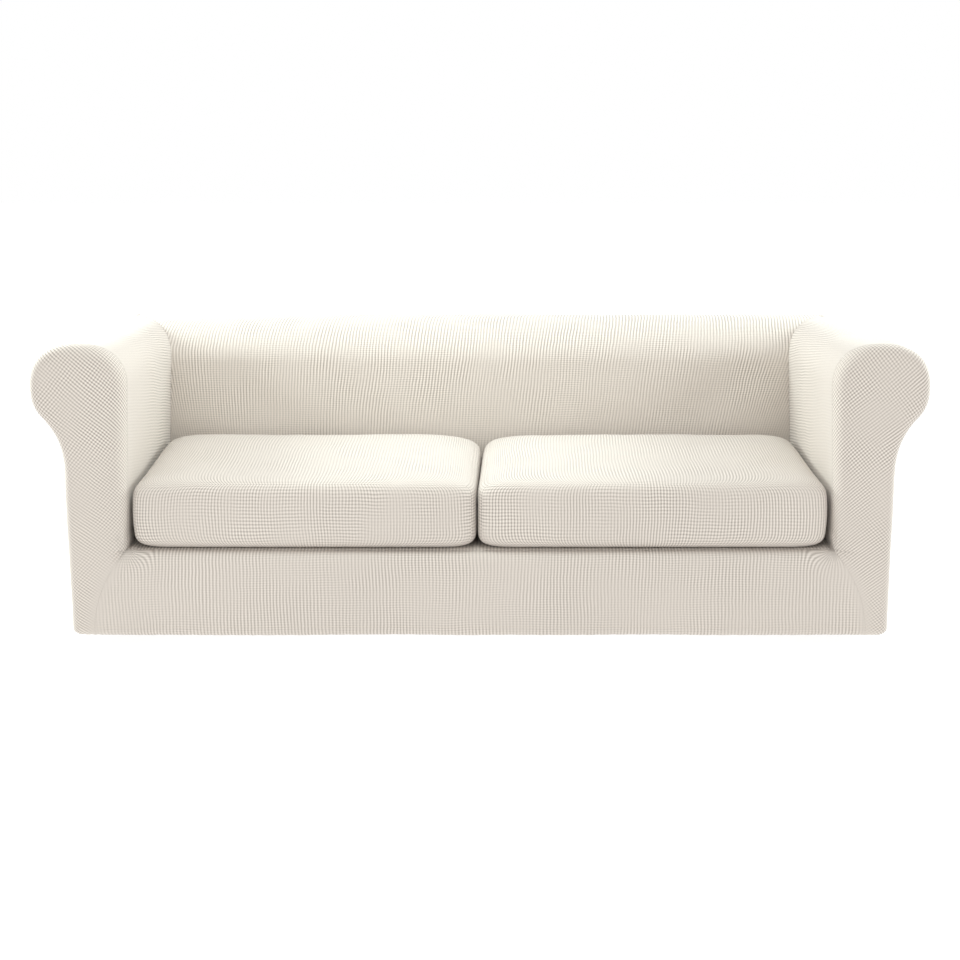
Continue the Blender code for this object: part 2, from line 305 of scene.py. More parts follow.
    def outer_line(self) -> Array:
        """The arm's outer outline seen from the front, straight down to the hem plane."""
        side = [(self.outer_x(z), z) for z in self.rows(self.hem_rise)]
        return np.array([(self.arm_outer, -self.edge)] + side)

    def inner_line(self) -> Array:
        """The arm's inner outline from the crest down, then the deck's edge across the middle."""
        side = [(self.inner_x(z), z) for z in self.rows(self.deck)[::-1]]
        return np.array(side + [(-self.inner_x(self.deck), self.deck)])

    def edge_depth(self, xs: Array, z: float, line: Array) -> tuple[Array, Array]:
        """How far a face is set back beside its outline and above its hem.

        Args:
            xs: distances from the middle of the set.
            z: height of the row.
            line: the outline.

        Returns:
            The depths, and unit vectors away from the outline's nearest points times the extra
            length of cloth that goes round the edge, for the knit's count.
        """
        points = np.stack([xs, np.full_like(xs, z)], axis=1)[:, None]
        starts, runs = line[:-1], np.diff(line, axis=0)
        length = np.maximum((runs**2).sum(axis=1), TINY**2)
        along = ((points - starts) * runs).sum(axis=2) / length
        gaps = points - starts - np.clip(along, 0, 1)[..., None] * runs
        distances = np.hypot(gaps[..., 0], gaps[..., 1])
        nearest = (np.arange(len(xs)), distances.argmin(axis=1))
        distance = distances[nearest]
        side = np.maximum(0.0, 1 - distance / self.edge)
        bend = np.minimum(1.0, np.hypot(side, max(0.0, 1 - z / self.hem_rise)))
        direction = gaps[nearest] / np.maximum(distance, TINY)[:, None]
        extra = self.edge * (np.arcsin(np.minimum(1.0, side)) - side)
        return self.edge * (1 - np.sqrt(1 - bend * bend)), -direction * extra[:, None]


# ---- sheets and folds ----


@dataclass
class Sheet:
    """One sheet of cloth as a grid of points.

    Attributes:
        points: shape (rows, columns, 3), in metres.
        knit: shape (rows, columns, 4): ribs counted, cross rows counted, and how each shows.
    """

    points: Array
    knit: Array

    def mirrored(self) -> "Sheet":
        """The same sheet on the other side, still facing outwards."""
        return Sheet(self.points[:, ::-1] * (-1, 1, 1), self.knit[:, ::-1])

    def turned(self) -> "Sheet":
        """The same sheet facing its other side."""
        return Sheet(self.points[:, ::-1], self.knit[:, ::-1])

    def reach(self) -> tuple[float, ...]:
        """The longest row and the longest column, in metres."""
        steps = [(np.linalg.norm(np.diff(self.points, axis=k), axis=2), k) for k in (1, 0)]
        return tuple(float(lengths.sum(axis=k).max()) for lengths, k in steps)


Panels = dict[str, list[Sheet]]


@dataclass(frozen=True)
class Crease:
    """A soft trough or ridge along a line.

    Attributes:
        start: one end of the line.
        end: its other end.
        width: half the width over which the cloth bends.
        height: how far the ridge stands up; below 0 it is a trough.
        taper: share of the height that is left at the line's ends.
    """

    start: Point
    end: Point
    width: float
    height: float
    taper: float = 0.25

    def rise(self, points: Array, normals: Array) -> Array:
        """Say how far the cloth moves out.

        Args:
            points: the cloth's points.
            normals: the ways out from the cloth there.

        Returns:
            Each point's way out along its normal.
        """
        start, run = np.array(self.start), np.array(self.end) - np.array(self.start)
        along = np.clip(((points - start) @ run) / (run @ run), 0, 1)
        gap = np.linalg.norm(points - start - along[:, None] * run, axis=1)
        taper = self.taper + (1 - self.taper) * np.sin(np.pi * along)
        return self.height * taper * np.exp(-((gap / self.width) ** 2))


@dataclass(frozen=True)
class Gather:
    """Small pleats that fan out from a corner where the cloth is pulled in.

    Attributes:
        corner: the corner that the pleats run to.
        reach: distance over which they fade.
        height: their height.
        pleats: number of pleats in a full turn.
        turn: where the first pleat lies, in radians.
    """

    corner: Point
    reach: float
    height: float
    pleats: float
    turn: float

    def rise(self, points: Array, normals: Array) -> Array:
        """Say how far the cloth moves out.

        Args:
            points: the cloth's points.
            normals: the ways out from the cloth there.

        Returns:
            Each point's way out along its normal.
        """
        away = points - np.array(self.corner)
        angle = np.arctan2(away[:, 2], away[:, 0])
        share = np.linalg.norm(away, axis=1) / self.reach
        fade = share * np.exp(1 - share**1.5 * 1.6)
        uneven = 0.75 + 0.25 * np.sin(3.1 * angle + 1.7)
        return self.height * fade * uneven * np.sin(self.pleats * angle + self.turn)


@dataclass(frozen=True)
class HemRipple:
    """Fine waves where the elastic draws the turned-under hem in."""

    height: float = 0.0007
    spacing: float = 0.019
    reach: float = 0.022

    def rise(self, points: Array, normals: Array) -> Array:
        """Say how far the cloth moves out.

        Args:
            points: the cloth's points.
            normals: the ways out from the cloth there.

        Returns:
            Each point's way out along its normal.
        """
        along = points[:, 0] + points[:, 1]
        uneven = 1.3 * np.sin(along * 23) + 0.8 * np.sin(along * 61)
        wave = np.sin(2 * np.pi * along / self.spacing + uneven)
        return self.height * wave * np.clip(1 - points[:, 2] / self.reach, 0, 1) ** 1.5


@dataclass(frozen=True)
class Undulation:
    """Broad, very low waves that keep drawn cloth from looking machined."""

    size: float
    height: float
    turn: float

    def rise(self, points: Array, normals: Array) -> Array:
        """Say how far the cloth moves out.

        Args:
            points: the cloth's points.
            normals: the ways out from the cloth there.

        Returns:
            Each point's way out along its normal.
        """
        x, y, z = (points * (2 * np.pi / self.size)).T
        first = np.sin(x + 1.1 * np.sin(0.7 * z + self.turn) + self.turn)
        second = np.sin(1.13 * z + 0.9 * y + 1.4 * np.sin(0.53 * x + 2 * self.turn))
        third = np.sin(0.71 * x - 1.31 * y + 0.83 * z + 3 * self.turn)
        return self.height * (first * second + 0.6 * third) / 1.6


@dataclass(frozen=True)
class Held:
    """Folds that fade out where the cloth is held against its neighbours.

    Attributes:
        folds: the folds.
        free: how free the cloth is, from 0 to 1, at each point.
    """

    folds: tuple
    free: Callable[[Array, Array], Array]

    def rise(self, points: Array, normals: Array) -> Array:
        """How far each point moves out along its normal."""
        return self.free(points, normals) * sum(fold.rise(points, normals) for fold in self.folds)


# ---- panels ----


@dataclass
class ClothCutter:
    """Makes thin closed panels from the sheets of one cover, mitred where they share a seam.

    Attributes:
        folds: everything that moves the cloth out or in, applied over all the seams at once.
        cloth: thickness of the knit.
        seam_gap: how far each panel stops short of its seam line.
        widest_mitre: most that a mitre lengthens the way through the cloth.
    """

    folds: list = field(default_factory=list)
    cloth: float = 0.002
    seam_gap: float = 0.00004
    widest_mitre: float = 1.8
    flat_points: KDTree | None = None
    drawn_points: list[tuple[Vector, Vector]] = field(default_factory=list)

    def cut(self, panels: Panels) -> dict[str, bpy.types.Object]:
        """Make every panel of the cover.

        Args:
            panels: the sheets of each panel, by the panel's name.

        Returns:
            The panels' objects by name.
        """
        mesh = bmesh.new()
        layers = self._maps(mesh)
        for index, sheets in enumerate(panels.values()):
            for sheet in sheets:
                self._lay(mesh, sheet, index, layers)
        bmesh.ops.remove_doubles(mesh, verts=mesh.verts, dist=WELD)
        mesh.normal_update()
        self._fold(mesh)
        mesh.normal_update()
        self.drawn_points = [(vert.co.copy(), vert.normal.copy()) for vert in mesh.verts]
        inward = {}
        for vert in mesh.verts:
            mitre = min(self.widest_mitre, vert.calc_shell_factor())
            inward[vert] = vert.normal * (-self.cloth * mitre)
        made = {}
        for index, name in enumerate(panels):
            faces = [face for face in mesh.faces if face.material_index == index]
            made[name] = self._shell(name, faces, inward, layers)
        mesh.free()
        return made

    def on_cloth(self, point: Point) -> tuple[Vector, Vector]:
        """Where a point of a flat sheet lies once it is folded, and the way out there."""
        return self.drawn_points[self.flat_points.find(point)[1]]

    def _maps(self, mesh: BMesh) -> list:
        """Add the two maps of the knit, counts and how they show, to a mesh."""
        return [mesh.loops.layers.uv.new(name) for name in (COUNT_MAP, SHOWN_MAP)]

    def _lay(self, mesh: BMesh, sheet: Sheet, index: int, layers: list) -> None:
        """Add one sheet's faces to the cover's mesh.

        Args:
            mesh: the cover's mesh.
            sheet: the sheet.
            index: number of its panel.
            layers: the mesh's two maps.
        """
        grid = [[mesh.verts.new(point) for point in row] for row in sheet.points.tolist()]
        knit = sheet.knit.tolist()
        for r in range(len(grid) - 1):
            for c in range(len(grid[0]) - 1):
                places = ((r, c), (r, c + 1), (r + 1, c + 1), (r + 1, c))
                face = mesh.faces.new([grid[i][j] for i, j in places])
                face.material_index = index
                for loop, (i, j) in zip(face.loops, places):
                    for layer, first in zip(layers, (0, 2)):
                        loop[layer].uv = knit[i][j][first : first + 2]

    def _fold(self, mesh: BMesh) -> None:
        """Move the cover's points by all its folds, and keep where they came from.

        Args:
            mesh: the cover's mesh.
        """
        points = np.array([vert.co for vert in mesh.verts])
        normals = np.array([vert.normal for vert in mesh.verts])
        self.flat_points = KDTree(len(points))
        for index, vert in enumerate(mesh.verts):
            self.flat_points.insert(vert.co, index)
        self.flat_points.balance()
        rise = sum(fold.rise(points, normals) for fold in self.folds)
        for vert, point in zip(mesh.verts, points + normals * rise[:, None]):
            vert.co = point

    def _ends(self, edge: bmesh.types.BMEdge, index: int) -> bool:
        """Whether the panel of that number ends at an edge."""
        return sum(face.material_index == index for face in edge.link_faces) == 1

    def _pulls(self, faces: list[BMFace], index: int) -> dict[BMVert, Vector]:
        """Find how far in along the sheet a panel stops at its seams.

        Args:
            faces: the panel's faces.
            index: its number.

        Returns:
            The short way in, for each point on the panel's edge.
        """
        found: dict[BMVert, list[Vector]] = {}
        loops = (loop for face in faces for loop in face.loops)
        for loop in (loop for loop in loops if self._ends(loop.edge, index)):
            run = (loop.link_loop_next.vert.co - loop.vert.co).normalized()
            for vert in loop.edge.verts:
                found.setdefault(vert, []).append(loop.face.normal.cross(run).normalized())
        return {
            vert: (pair[0] + pair[-1]) * (self.seam_gap / max(0.5, 1 + pair[0].dot(pair[-1])))
            for vert, pair in found.items()
        }

    def _shell(self, name: str, faces: list[BMFace], inward: dict[BMVert, Vector],
               layers: list) -> bpy.types.Object:
        """Make one closed panel: its face, its back one cloth thickness in, and its cut edge.

        Args:
            name: the panel's name.
            faces: its faces in the cover's mesh.
            inward: the way through the cloth at each point.
            layers: the cover mesh's two maps.

        Returns:
            The panel's object.
        """
        index = faces[0].material_index
        pulls = self._pulls(faces, index)
        shell = bmesh.new()
        own_layers = self._maps(shell)
        front, back = {}, {}
        for vert in {vert: None for face in faces for vert in face.verts}:
            point = vert.co + pulls.get(vert, Vector())
            front[vert] = shell.verts.new(point)
            back[vert] = shell.verts.new(point + inward[vert])

        def add_face(corners: list, smooth: bool = True) -> None:
            """Add a face.

            Args:
                corners: its points, each with the loop that it takes its knit counts from.
                smooth: whether it is shaded smooth.
            """
            made = shell.faces.new([vert for vert, _ in corners])
            made.smooth = smooth
            for new, (_, old) in zip(made.loops, corners):
                for own, layer in zip(own_layers, layers):
                    new[own].uv = old[layer].uv

        for face in faces:
            loops = list(face.loops)
            add_face([(front[loop.vert], loop) for loop in loops])
            add_face([(back[loop.vert], loop) for loop in [loops[0], *reversed(loops[1:])]])
            for loop in (loop for loop in loops if self._ends(loop.edge, index)):
                after = loop.link_loop_next
                low_first = tuple(loop.vert.co) < tuple(after.vert.co)
                corner, other = (after, loop) if low_first else (loop, after)
                start, end = (front[loop.vert], loop), (front[after.vert], after)
                add_face([end, start, (back[corner.vert], corner)], False)
                deep = [(back[loop.vert], loop), (back[after.vert], after)]
                add_face([(front[other.vert], other), *deep], False)
        data = bpy.data.meshes.new(name + "_knit")
        shell.to_mesh(data)
        shell.free()
        return linked(name + "_knit", data)


# ---- the finishes ----


class NodeBench:
    """Small helper that adds and joins the nodes of one tree."""

    def __init__(self, tree: bpy.types.NodeTree) -> None:
        """Start with the tree empty."""
        self.tree = tree
        tree.nodes.clear()

    def add(self, kind: str, inputs: dict | None = None, **settings) -> bpy.types.NodeOutputs:
        """Add a node.

        Args:
            kind: the node's type name.
            inputs: numbers for its inputs, or sockets that they are joined to, by name or place.
            settings: its properties by name.

        Returns:
            The node's outputs.
        """
        node = self.tree.nodes.new(kind)
        for key, value in settings.items():
            setattr(node, key, value)
        for key, value in (inputs or {}).items():
            if isinstance(value, Socket):
                self.tree.links.new(value, node.inputs[key])
            else:
                node.inputs[key].default_value = value
        return node.outputs

    def math(self, operation: str, *values: Socket | float) -> Socket:
        """Work out a number from one, two or three numbers or sockets."""
        return self.add("ShaderNodeMath", dict(enumerate(values)), operation=operation)[0]

    def noise(self, place: Socket, scale: float, detail: float, shift: float) -> Socket:
        """A noise about 0.5 on the object's own coordinates; the shift sets two noises apart."""
        inputs = {"Vector": place, "W": shift, "Scale": scale, "Detail": detail}
        return self.add("ShaderNodeTexNoise", inputs, noise_dimensions="4D")["Fac"]

    def span(self, *values: Socket | float) -> Socket:
        """Map a number, which comes first, smoothly from the first range given to the second."""
        settings = {"interpolation_type": "SMOOTHSTEP", "clamp": True}
        return self.add("ShaderNodeMapRange", dict(enumerate(values)), **settings)[0]

    def on_map(self, name: str) -> bpy.types.NodeOutputs:
        """The numbers that a map of the piece holds."""
        numbers = self.add("ShaderNodeUVMap", uv_map=name)["UV"]
        return self.add("ShaderNodeSeparateXYZ", {0: numbers})

    def cover(self, inputs: dict) -> None:
        """Finish a material with a principled shader of these inputs."""
        shader = self.add("ShaderNodeBsdfPrincipled", inputs)[0]
        self.add("ShaderNodeOutputMaterial", {"Surface": shader})


@dataclass(frozen=True)
class KnitLines:
    """How the darker lines between the squares show in one direction.

    Attributes:
        depth: how strongly they show, in the faintest and in the clearest patches.
        patches: waves in each metre of the noise that parts those patches, and its shift.
        patch_range: values of that noise in the faintest and in the clearest patches.
        sharp: power that narrows the lines.
        mean: how dark they are on average.
    """

    depth: Pair
    patches: Pair
    patch_range: Pair
    sharp: float
    mean: float

    def drop(self, bench: NodeBench, place: Socket, count: Socket, shown: Socket) -> Socket:
        """Say how far the lines lie below the cloth's mean; in a square's middle it is below 0.

        Args:
            bench: the knit's bench.
            place: the object's own coordinates.
            count: the count across the lines.
            shown: how strongly they show on this part of the piece.

        Returns:
            The drop's socket.
        """
        scale, shift = self.patches
        patch = bench.span(bench.noise(place, scale, 2.0, shift), *self.patch_range, *self.depth)
        wave = bench.math("COSINE", bench.math("MULTIPLY", count, 2 * math.pi))
        peak = bench.math("POWER", bench.math("MULTIPLY_ADD", wave, 0.5, 0.5), self.sharp)
        line = bench.math("SUBTRACT", peak, self.mean)
        return bench.math("MULTIPLY", bench.math("MULTIPLY", patch, shown), line)


@dataclass(frozen=True)
class WaffleKnit:
    """Matt cream waffle knit: light squares between finer, darker ribs and rows.

    Attributes:
        light: colour of the squares.
        dark: colour of the lines between them.
        middle: where the cloth's mean lies between dark and light.
        ribs: the lines along the ribs.
        rows: the lines across them.
        slow_waver: how far a rib wanders slowly, in ribs.
        quick_waver: how far it wanders quickly.
        relief: depth of the waffle.
        yarn_relief: depth of the yarn's loops, as a share of that.
        yarn_shade: how dark and how light the loops are.
        cloud_shade: the same for broad clouds over the cloth.
    """

    light: Point = (0.84, 0.775, 0.705)
    dark: Point = (0.34, 0.30, 0.26)
    middle: float = 0.54
    ribs: KnitLines = KnitLines((0.30, 0.70), (8.0, 11.0), (0.34, 0.66), 1.3, 0.44)
    rows: KnitLines = KnitLines((0.10, 0.54), (9.0, 17.0), (0.36, 0.68), 1.6, 0.40)
    slow_waver: float = 2.2
    quick_waver: float = 0.385
    relief: float = 0.0011
    yarn_relief: float = 0.12
    yarn_shade: Pair = (0.96, 1.02)
    cloud_shade: Pair = (0.985, 1.015)
    roughness: float = 0.95
    specular: float = 0.15
    sheen: float = 0.25
    sheen_roughness: float = 0.45

    def material(self) -> Material:
        """Build the knit's material.

        Returns:
            The material, which reads the two knit maps of the piece that it is on.
        """
        knit = bpy.data.materials.new("cream_waffle_knit")
        knit.use_nodes = True
        bench = NodeBench(knit.node_tree)
        place = bench.add("ShaderNodeTexCoord")["Object"]
        ribs, rows = self._counts(bench, place)
        shown = bench.on_map(SHOWN_MAP)
        drops = (self.ribs.drop(bench, place, ribs, shown[0]),
                 self.rows.drop(bench, place, rows, shown[1]))
        squares = bench.math("SUBTRACT", self.middle, bench.math("ADD", *drops))
        yarn = self._yarn(bench, ribs, rows)
        colours = {"Factor": squares, "A": (*self.dark, 1), "B": (*self.light, 1)}
        tone = bench.add("ShaderNodeMix", colours, data_type="RGBA")["Result"]
        cloudy = bench.span(bench.noise(place, 3.0, 2.0, 7.0), 0.3, 0.7, *self.cloud_shade)
        light = bench.math("MULTIPLY", cloudy, bench.span(yarn, 0, 1, *self.yarn_shade))
        height = bench.math("MULTIPLY_ADD", yarn, self.yarn_relief, squares)
        bump = {"Strength": 0.8, "Distance": self.relief, "Height": height}
        bench.cover({
            "Base Color": bench.add("ShaderNodeVectorMath", {0: tone, "Scale": light},
                                    operation="SCALE")[0],
            "Normal": bench.add("ShaderNodeBump", bump)["Normal"],
            "Roughness": self.roughness,
            "Specular IOR Level": self.specular,
            "Sheen Weight": self.sheen,
            "Sheen Roughness": self.sheen_roughness,
        })
        return knit

    def _counts(self, bench: NodeBench, place: Socket) -> list[Socket]:
        """Count ribs and rows, with the slow and quick wandering of drawn cloth.

        Args:
            bench: the knit's bench.
            place: the object's own coordinates.

        Returns:
            The two counts' sockets.
        """
        made = []
        for count, shift in zip(bench.on_map(COUNT_MAP), (0.0, 4.0)):
            slow = bench.math("SUBTRACT", bench.noise(place, 4.5, 1.0, shift), 0.5)
            quick = bench.math("SUBTRACT", bench.noise(place, 28.0, 1.0, shift + 2), 0.5)
            moved = bench.math("MULTIPLY_ADD", slow, self.slow_waver, count)
            made.append(bench.math("MULTIPLY_ADD", quick, self.quick_waver, moved))
        return made

    def _yarn(self, bench: NodeBench, ribs: Socket, rows: Socket) -> Socket:
        """Draw the small loops of yarn inside each square.

        Args:
            bench: the knit's bench.
            ribs: the count of ribs.
            rows: the count of rows.

        Returns:
            The socket of their height, from 0 to 1.
        """
        across = bench.math("SINE", bench.math("MULTIPLY", ribs, 8 * math.pi))
        lean = bench.math("MULTIPLY_ADD", across, 0.8, bench.math("MULTIPLY", rows, 10 * math.pi))
        return bench.math("MULTIPLY_ADD", bench.math("SINE", lean), 0.5, 0.5)


@dataclass(frozen=True)
class PlainPaint:
    """A plain matt colour, for thread and floor."""

    name: str
    colour: Point
    glow: float = 0.0

    def material(self) -> Material:
        """Build the material.

        Returns:
            The material.
        """
        paint = bpy.data.materials.new(self.name)
        paint.use_nodes = True
        matt = {"Roughness": 0.9, "Specular IOR Level": 0.1}
        lit = {"Emission Color": WHITE, "Emission Strength": self.glow}
        NodeBench(paint.node_tree).cover({"Base Color": (*self.colour, 1)} | matt | lit)
        return paint


@dataclass(frozen=True)
class Pitch:
    """Spacing of the knit on one panel, in metres."""

    ribs: float
    rows: float


# ---- the covers ----


@dataclass(kw_only=True)
class Cover(ABC):
    """A cover of sewn panels; its kinds say what its sheets and folds are.

    Attributes:
        stretch: how much longer the drawn cloth is than the cut one.
        cutter: makes the panels, and knows the folded cloth afterwards.
        panels: the sheets of each panel, by the panel's name.
        rests: what a panel lies on or hangs from, where it does.
    """

    stretch: float = 1.08
    cutter: ClothCutter = field(default_factory=ClothCutter)
    panels: Panels = field(default_factory=dict)
    rests: dict[str, list[str]] = field(default_factory=dict)

    @abstractmethod
    def sheets(self) -> Panels:
        """The sheets of each panel."""

    @abstractmethod
    def folds(self) -> list:
        """The folds of the whole cover."""

    def build(self, knit: Material) -> list[bpy.types.Object]:
        """Make all the panels, give them their cloth, attach them to the body and hide the frame's
        own panels.

        Args:
            knit: the knit's material.

        Returns:
            The panels' objects.
        """
        self.panels = self.sheets()
        self.cutter.folds = self.folds()
        pieces = self.cutter.cut(self.panels)
        for name, piece in pieces.items():
            piece.data.materials.append(knit)
            sizes = [sheet.reach() for sheet in self.panels[name]]
            areas = np.empty(len(piece.data.polygons))
            piece.data.polygons.foreach_get("area", areas)
            rests_on = self.rests.get(name, [])
            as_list(rests_on)
            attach(piece, BODY)
            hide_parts(name)
        return list(pieces.values())


@dataclass
class BaseCover(Cover):
    """The ten panels drawn over back, arms and deck."""

    form: FittedForm
    back_pitch: Pitch = Pitch(0.0087, 0.0062)
    apron_pitch: Pitch = Pitch(0.0084, 0.0064)
    arm_pitch: Pitch = Pitch(0.0072, 0.0072)
    side_pitch: Pitch = Pitch(0.0078, 0.0078)
    facing_turn: float = math.radians(39)
    facing_columns: int = 15
    facing_room: float = 0.4
    facing_shown: Pair = (1.25, 0.95)
    facing_widths: Pair = (1.20, 1.05)
    apron_shown: Pair = (0.85, 0.5)
    back_shown: Pair = (1.2, 0.7)
    arm_shown: Pair = (1.0, 0.5)
    seam_smooth: float = 0.85
    seam_fade: Pair = (0.002, 0.034)
    seam_fade_below: float = 0.05
    facing_faint: float = 0.72
    facing_fade: Pair = (0.36, 0.58)
    arm_faint: float = 0.16
    arm_fade: Pair = (0.14, 0.44)
    fan_start: float = 0.004
    back_fade_from: float = 0.66
    back_fade_over: float = 0.26
    bow_power: float = 1.4
    bow_reach: float = 0.20
    foot_faint: float = 0.45
    crease_faint: float = 0.8
    crease_reach: float = 0.040
    back_lean: float = 0.11
    back_bow: Pair = (-0.085, 0.070)
    arm_drop: float = 0.15
    crowded: float = 1.6
    crowding: float = 0.014
    fan_reach: float = 0.060

    def __post_init__(self) -> None:
        """Record that the outside back rests on the inside back, and that on the deck."""
        self.rests = {"outside_back": ["inside_back"], "inside_back": ["seat_deck"]}

    def sheets(self) -> Panels:
        """The sheets of all ten panels."""
        return (self.arm_fronts() | self.front_apron() | self.seat_deck() | self.outside_arms()
                | self.inside_arms() | self.inside_back() | self.outside_back())

    def place(self, xs: Array | float, depths: Array | float, z: float) -> Array:
        """Points of one row, given by their depths behind the front plane."""
        return np.stack(np.broadcast_arrays(xs, depths - self.form.depth / 2, z), axis=1)

    def both(self, name: str, sheets: list[Sheet]) -> Panels:
        """A panel on the right arm and its mirror image on the left one."""
        return {name + "_right": sheets, name + "_left": [sheet.mirrored() for sheet in sheets]}

    def knitted(self, rows: list[Array], count: Callable[[Array, float, float], Array],
                column: int = 0, start: float = 0.0) -> Sheet:
        """Lay the knit over the rows of a sheet.

        Args:
            rows: the points of each row.
            count: the knit of a row, from its points, height and distance along the cloth.
            column: the column that this distance is measured along.
            start: the distance at the first row.

        Returns:
            The sheet.
        """
        points = np.array(rows)
        runs = start + running_length(points[:, column])
        knit = [count(row, row[0, 2], run) for row, run in zip(points, runs)]
        return Sheet(points, np.array(knit))

    def _depths(self, row: Array) -> Array:
        """Depths of a row's points behind the front plane."""
        return row[:, 1] + self.form.depth / 2

    def _count(self, ribs: Array, rows: Array | float, shown: Array | float = 1.0,
               shares: Pair = (1.0, 1.0)) -> Array:
        """Counts of one row of points, and how strongly ribs and rows show there."""
        numbers = (ribs, rows, shares[0] * shown, shares[1] * shown)
        return np.stack([np.broadcast_to(number, ribs.shape) for number in numbers], axis=1)

    def arm_fronts(self) -> Panels:
        """Lay out the scroll-shaped facings.

        Returns:
            Their sheets by panel.
        """
        form, rows = self.form, []
        line = np.concatenate([form.outer_line(), form.inner_line()])
        shares = np.linspace(0, 1, self.facing_columns + 2)[1:-1]
        for z in form.rows():
            below, end = z < form.deck, form.outer_x(z)
            start = form.apron_seam_x(z) if below else form.inner_x(z)
            room = (end - start) * self.facing_room
            even = np.linspace(0, min(room, form.edge), form.round_steps + 1)
            inner = start + (even if below else form.edge_offsets(form.inner_x, z, room))
            outer = end - form.edge_offsets(form.outer_x, z, room)[::-1]
            middle = inner[-1] + (outer[0] - inner[-1]) * shares
            xs = np.concatenate([inner, middle, outer])
            rows.append(self.place(xs, form.edge_depth(xs, z, line)[0], z))

        def count(row: Array, z: float, run: float) -> Array:
            """Count the knit, which runs aslant and closes up round the soft edge.

            Args:
                row: the row's points.
                z: its height.
                run: its distance along the cloth.

            Returns:
                The row's knit.
            """
            extra = form.edge_depth(row[:, 0], z, line)[1]
            xs, zs = row[:, 0] + extra[:, 0], z + extra[:, 1]
            foot, top = self.facing_widths
            wide = zs / self.arm_pitch.rows * (foot + (top - foot) * zs / form.height)
            level = xs / self.arm_pitch.ribs
            cos, sin = math.cos(self.facing_turn), math.sin(self.facing_turn)
            clear = soft_step(z, *self.facing_fade)
            faint = self.facing_faint
            shown = self._by_seam(row[:, 0], z) * (faint + (1 - faint) * clear)
            ribs, lines = wide * cos - level * sin, level * cos + wide * sin
            if z >= form.deck:
                ribs += self.crowded * np.exp(-(row[:, 0] - form.inner_x(z)) / self.crowding)
            return self._count(ribs, lines, shown, self.facing_shown)

        return self.both("arm_front", [self.knitted(rows, count)])

    def _by_seam(self, xs: Array, z: float) -> Array:
        """Say how the knit shows beside the apron's seam, where it is drawn smooth.

        Args:
            xs: distances from the middle of the set.
            z: height of the row.

        Returns:
            How strongly it shows, up to 1 away from the seam.
        """
        away = np.abs(np.abs(xs) - self.form.apron_seam_x(min(z, self.form.deck)))
        smooth = self.seam_smooth * clamped((self.form.deck - z) / self.seam_fade_below)
        return 1 - smooth * (1 - soft_step(away, *self.seam_fade))

    def front_apron(self) -> Panels:
        """Lay out the front panel between the two slanting seams.

        Returns:
            Its sheet by panel.
        """
        form, shares, rows = self.form, self.form.column_shares(), []
        line = form.inner_line()
        for z in form.rows(0.0, form.deck):
            xs = form.apron_seam_x(z) * shares
            rows.append(self.place(xs, form.edge_depth(np.abs(xs), z, line)[0], z))
        return {"front_apron": [self.knitted(rows, self._on_apron, len(shares) // 2)]}

    def _on_apron(self, row: Array, z: float, run: float) -> Array:
        """Count the apron's knit, whose ribs fan out from the deck's two corners.

        Args:
            row: the row's points.
            z: its height.
            run: its distance along the cloth.

        Returns:
            The row's knit.
        """
        xs, corner, pitch = row[:, 0], self.form.inner_x(self.form.deck), self.apron_pitch
        left, below = corner - np.abs(xs), self.form.deck - z + self.fan_start
        fan = self.fan_reach / pitch.ribs * np.arctan2(left, below)
        plain = xs / pitch.ribs
        share = np.exp(-(np.hypot(left, below) / self.fan_reach) ** 2)
        ribs = plain + share * np.sign(xs) * (corner / pitch.ribs - fan - np.abs(plain))
        return self._count(ribs, run / pitch.rows, self._by_seam(xs, z), self.apron_shown)

    def seat_deck(self) -> Panels:
        """Lay out the platform panel.

        Returns:
            Its sheet by panel.
        """
        form, shares, rows = self.form, self.form.column_shares(), []
        rear, bulge = form.back_depth(form.deck), form.bulge(np.abs(shares), form.deck)
        for depth in form.inward_depths(rear):
            forward = (depth - form.edge) / (rear - form.edge) * bulge
            xs = form.inner_x(form.deck, depth) * shares
            rows.append(self.place(xs, depth - forward, form.deck))

        def count(row: Array, z: float, run: float) -> Array:
            """The knit of a row."""
            ribs = row[:, 0] / self.apron_pitch.ribs
            return self._count(ribs, self._depths(row)[0] / self.side_pitch.rows)

        return {"seat_deck": [self.knitted(rows, count)]}

    def _arm_rows(self, low: float, high: float) -> list[Array]:
        """Rows of points from front to rear seam on the arm's outer side, between two heights."""
        depths, form = self.form.side_depths(), self.form
        return [self.place(form.outer_x(z), depths, z) for z in form.rows(low, high)]

    def outside_arms(self) -> Panels:
        """Lay out the flat outside panels, from the hem to the seam under the roll.

        Returns:
            Their sheets by panel.
        """
        pitch = self.side_pitch

        def count(row: Array, z: float, run: float) -> Array:
            """The knit of a row."""
            return self._count(self._depths(row) / pitch.ribs, z / pitch.rows)

        rows = self._arm_rows(0.0, self.form.neck_seam)
        return self.both("outside_arm", [self.knitted(rows, count)])

    def inside_arms(self) -> Panels:
        """Lay out the panels over the roll and down the inner face.

        Returns:
            Their sheets by panel.
        """
        form, rows = self.form, []
        outer = self.knitted(self._arm_rows(form.neck_seam, form.height), self._over_arm)
        for z in form.rows(form.deck, form.height)[::-1]:
            depths = form.inward_depths(form.back_depth(z))
            rows.append(self.place(form.inner_x(z, depths), depths, z))
        crest = running_length(outer.points[:, 0])[-1]
        inner = self.knitted(rows, self._over_arm, start=crest)
        return self.both("inside_arm", [outer, inner])

